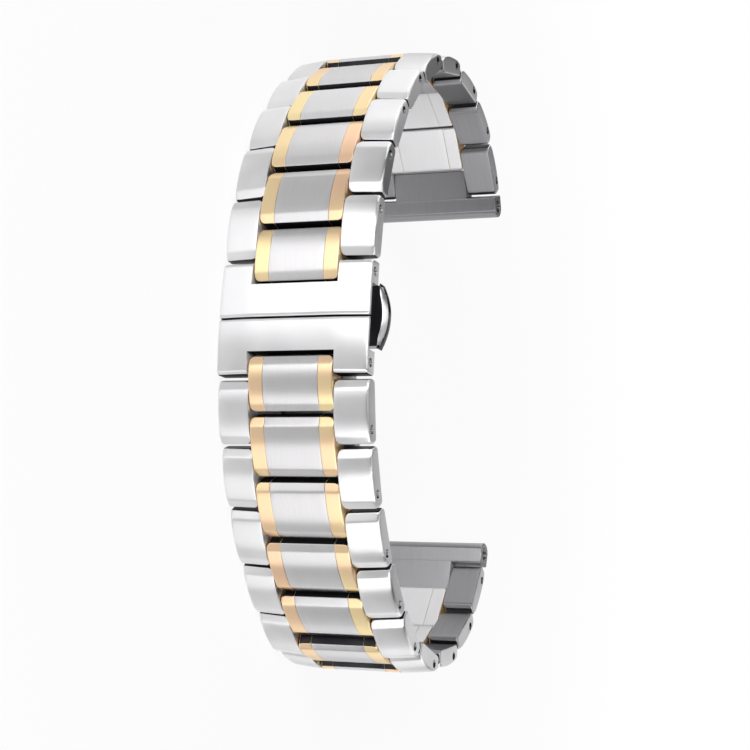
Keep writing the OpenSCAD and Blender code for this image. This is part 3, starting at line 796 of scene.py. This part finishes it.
def lens():
    """The head as rings along x. At x the lens ends at LENS_TOP - R + root(R squared - x squared), R
    being the radius through its tips. Each ring follows LENS_SECTION, whose depths are in scale with
    the lens's height there, and its first and last points lie on the lens's foot."""
    sag = LENS_TOP - LENS_FOOT
    radius = (LENS_HALF ** 2 + sag ** 2) / (2 * sag)
    x = LENS_HALF * np.sin(np.linspace(-1, 1, 49) * np.pi / 2) * LENS_TIP
    top = LENS_TOP - radius + np.sqrt(radius ** 2 - x ** 2)
    high = np.clip((top - LENS_FOOT) / LENS_FULL, LENS_LEAST, 1)
    y, down = np.array(LENS_SECTION).T
    z = top[:, None] - down * high[:, None]
    z[:, 0] = z[:, -1] = LENS_FOOT
    return joined_rings(np.stack([np.broadcast_to(x[:, None], z.shape),
                                  np.broadcast_to(y, z.shape), z], -1))


def bevel_faces(normal):
    """The lens's front bevel: faces that look both outwards and to the side."""
    return (normal[:, 1] < -0.3) & (normal[:, 2] > 0.3)


# Painted reflection: the button's head and stem are coloured near black for the dark reflection on the
# head's front; its bevel keeps the plain steel.
dark_reflection = polished_metal("dark_reflection_steel", (0.014, 0.014, 0.016), (0.008, 0.008, 0.010),
                      rough=(0.05, 0.10), drawn=0.0)
right_frame = clasp_frame("right")
stem = mesh_of("stem", rod(0, STEM_Y, STEM, *STEM_SPAN, STEM_ROUND),
               box((-NECK_HALF, HEAD_FRONT, NECK_FROM), (NECK_HALF, HEAD_BACK, LENS_FOOT + JOINED)))
hook_plate = box((-HOOK_HALF, HEAD_FRONT, HOOK_FROM), (HOOK_HALF, HOOK_BACK, HOOK_TO))
hook_rounds = [rod(side * COVER_PIN[0], COVER_PIN[1], HOOK_ROUND, *HOOK_CUT) for side in (-1, 1)]
hooks = cut(mesh_of("hooks", hook_plate), mesh_of("hook_rounds", *hook_rounds))
latch_steel = polished_metal("latch_steel", (0.25, 0.25, 0.26), (0.19, 0.19, 0.20))
finished("button_head", mesh_of("lens", lens()), right_frame, dark_reflection, "button", ["push_button"],
         others=((steel, bevel_faces),))
for name, mesh, finish in (("stem", stem, dark_reflection), ("hooks", hooks, latch_steel)):
    finished(f"button_{name}", mesh, right_frame, finish, "button", ["push_button"],
             edge=0.05)


# ARMS AND BASE PLATE
# Curved leaves of spring-hard sheet steel with a brushed face. The base plate lies on the wrist; each
# arm folds flat on it, turns on a barrel hinge at the plate's end and carries its cover on two
# knuckles.
BEND_Y = 41.55                          # middle of the circles to which the leaves are bent
ARM_OUT, ARM_THICK, BASE_OUT, BASE_THICK = 40.0, 0.8, 39.1, 0.9
LEAF_HALF, ARM_FROM, LEAF_THROUGH = 6.8, 3.05, 9
ARM_ROUND, BASE_ROUND = 0.2, 0.3        # of the leaves' long edges
ARM_PIN_X, ARM_PIN_HALF = 18.5, 6.7
BARREL, BARREL_HALF, BARREL_ROUND, RUN_GAP = 1.0, 4.2, 0.1, 0.12
KNUCKLE, KNUCKLE_FROM, KNUCKLE_ROUND = 0.95, 5.0, 0.06
KNUCKLE_TURN = (110, 330)               # degrees between which a knuckle is round
KNUCKLE_ROOT = [(4.3, 1.95), (4.3, 2.3), (3.4, 2.2)]    # where it grows out of the arm
WINDOW, WINDOW_ROUND = ((7.5, -3.0), (14.0, 3.0)), 1
pin_ring = ARM_OUT - ARM_THICK - 0.05   # radius on which both arm pins lie
ARM_PIN = (ARM_PIN_X, BEND_Y - np.sqrt(pin_ring ** 2 - ARM_PIN_X ** 2))


def leaf(x0, x1, outer, thick, round_edge):
    """A curved leaf as rings along its arc. At the angle a from the clasp's middle a point at the
    depth h lies at ((r - h) sin a, BEND_Y - (r - h) cos a)."""
    a = np.linspace(np.arcsin(x0 / outer), np.arcsin(x1 / outer), 61)[:, None]
    share_z, step_z, share_y, step_y = section((round_edge,) * 4, wide=15)
    r = outer - share_y * thick - step_y
    z = -LEAF_HALF + share_z * 2 * LEAF_HALF + step_z
    rings = [r * np.sin(a), BEND_Y - r * np.cos(a), np.broadcast_to(z, (len(a), len(z)))]
    return joined_rings(np.stack(rings, -1))


def window_cutter():
    """A bar through the arm whose section is the window, its corners quarters of a circle."""
    (x0, z0), (x1, z1) = WINDOW
    r, outline = WINDOW_ROUND, []
    for x, z, first in ((x1 - r, z1 - r, 0), (x0 + r, z1 - r, 90), (x0 + r, z0 + r, 180),
                        (x1 - r, z0 + r, 270)):
        outline += arc(x, z, r, first, first + 90, 7)
    return joined_rings(np.array([[(x, y, z) for x, z in outline] for y in (-1.0, 8.0)]))


def pin_hole(x, y):
    """A cutter for a bore across a leaf."""
    return mesh_of("pin_hole", rod(x, y, BORE, -LEAF_THROUGH, LEAF_THROUGH))


brushed = satin_metal("brushed_sheet", (0.76, 0.76, 0.78), (0.67, 0.67, 0.69), grain=1.5)
arm = mesh_of("arm", leaf(ARM_FROM, ARM_PIN_X, ARM_OUT, ARM_THICK, ARM_ROUND))
gap_half = BARREL_HALF + RUN_GAP
for side in (1, -1):
    barrel = rod(*ARM_PIN, BARREL, *sorted((side * gap_half, side * LEAF_HALF)), BARREL_ROUND)
    arm = cut(arm, mesh_of("barrel", barrel), "UNION")
arm = cut(arm, mesh_of("barrel_gap", rod(*ARM_PIN, BARREL + RUN_GAP, -gap_half, gap_half)))
arm = cut(arm, pin_hole(*ARM_PIN))
arm = cut(arm, mesh_of("window", window_cutter()))
knuckle = arc(*COVER_PIN, KNUCKLE, *KNUCKLE_TURN, 19) + KNUCKLE_ROOT
knuckles = mesh_of("knuckles", *[extruded(knuckle, *sorted((side * KNUCKLE_FROM, side * LEAF_HALF)),
                                          KNUCKLE_ROUND, steps=3) for side in (1, -1)])
knuckles = cut(knuckles, pin_hole(*COVER_PIN))
for half in HALVES:
    for name, mesh in (("arm_leaf", arm), ("arm_knuckles", knuckles)):
        finished(f"{half}_{name}", mesh, clasp_frame(half), brushed, f"{half}_arm",
                 [f"{half}_arm"], edge=0.04)

base = mesh_of("base", leaf(-ARM_PIN_X, ARM_PIN_X, BASE_OUT, BASE_THICK, BASE_ROUND))
pin_places = [(side * ARM_PIN[0], ARM_PIN[1]) for side in (1, -1)]
for at in pin_places:
    barrel = rod(*at, BARREL, -BARREL_HALF, BARREL_HALF, BARREL_ROUND)
    base = cut(base, mesh_of("barrel", barrel), "UNION")
for at in pin_places:
    gaps = [rod(*at, BARREL + RUN_GAP, *sorted((side * BARREL_HALF, side * LEAF_THROUGH)))
            for side in (1, -1)]
    base = cut(base, mesh_of("barrel_gaps", *gaps))
    base = cut(base, pin_hole(*at))
arm_pins = mesh_of("arm_pins", *[rod(*at, PIN, -ARM_PIN_HALF, ARM_PIN_HALF, PIN_ROUND)
                                 for at in pin_places])
finished("base_leaf", base, right_frame, brushed, "clasp", ["base_plate"], edge=0.04)
finished("hinge_pin_rods", arm_pins, right_frame, pin_shade_steel, "clasp", ["arm_hinge_pins"])


# LATCH BLOCK, RIVETS AND SPRING
# A small steel block on the base plate guides the button's stem and holds its coil spring. Two
# rivets with domed heads hold it from the wrist side.
BLOCK = ((-1.9, -0.58, -3.5), (1.9, 2.45, 3.5))
GUIDE_ROOM, GUIDE_SPAN = 0.05, (0.4, 5)    # of the bore for the stem and the coil
RIVET, RIVET_Z, RIVET_SPAN, RIVET_DOME = 0.4, 2.3, (1.5, 3.3), 0.1
WIRE, COIL, COIL_SPAN, TURNS = 0.1, 0.55, (0.45, 2.52), 4


def rivet(z, sides=32):
    """A round rod along y whose last end is domed: over the length RIVET_DOME its radius falls as
    root(1 - t squared)."""
    t = np.linspace(0, 0.98, 8)
    y = np.concatenate([RIVET_SPAN[:1], RIVET_SPAN[1] - RIVET_DOME + RIVET_DOME * t])
    r = RIVET * np.concatenate([[1], np.sqrt(1 - t ** 2)])
    turn = np.linspace(0, 2 * np.pi, sides, endpoint=False)
    rings = [r[:, None] * np.cos(turn), np.broadcast_to(y[:, None], (len(y), sides)),
             z + r[:, None] * np.sin(turn)]
    return joined_rings(np.stack(rings, -1))


def coil():
    """A round wire of radius WIRE along a helix of radius COIL, 24 rings to a turn and 12 points
    round the wire."""
    a = np.linspace(0, 2 * np.pi * TURNS, 24 * TURNS + 1)[:, None]
    b = np.linspace(0, 2 * np.pi, 12, endpoint=False)[None]
    length = COIL_SPAN[1] - COIL_SPAN[0] - 2 * WIRE
    z = COIL_SPAN[0] + WIRE + length * a / a.max() + WIRE * np.sin(b)
    r = COIL + WIRE * np.cos(b)
    return joined_rings(np.stack([r * np.cos(a), STEM_Y + r * np.sin(a), z], -1))


guide = mesh_of("guide", rod(0, STEM_Y, STEM + GUIDE_ROOM, *GUIDE_SPAN))
latch = cut(mesh_of("latch", box(*BLOCK)), guide)
finished("latch_body", latch, right_frame, latch_steel, "clasp", ["latch_block"],
         edge=0.1)
rivets = mesh_of("rivets", *[rivet(side * RIVET_Z) for side in (1, -1)])
finished("rivet_pair", rivets, right_frame, pin_shade_steel, "clasp", ["latch_rivets"])
spring_steel = satin_metal("spring_wire", (0.62, 0.62, 0.64), (0.50, 0.50, 0.52))
spring = finished("button_coil", mesh_of("coil", coil()), right_frame, spring_steel, "clasp",
                  ["button_spring"])
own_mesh(spring)


# SIZE
# The box round every shown object, the table left out.
low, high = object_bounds()
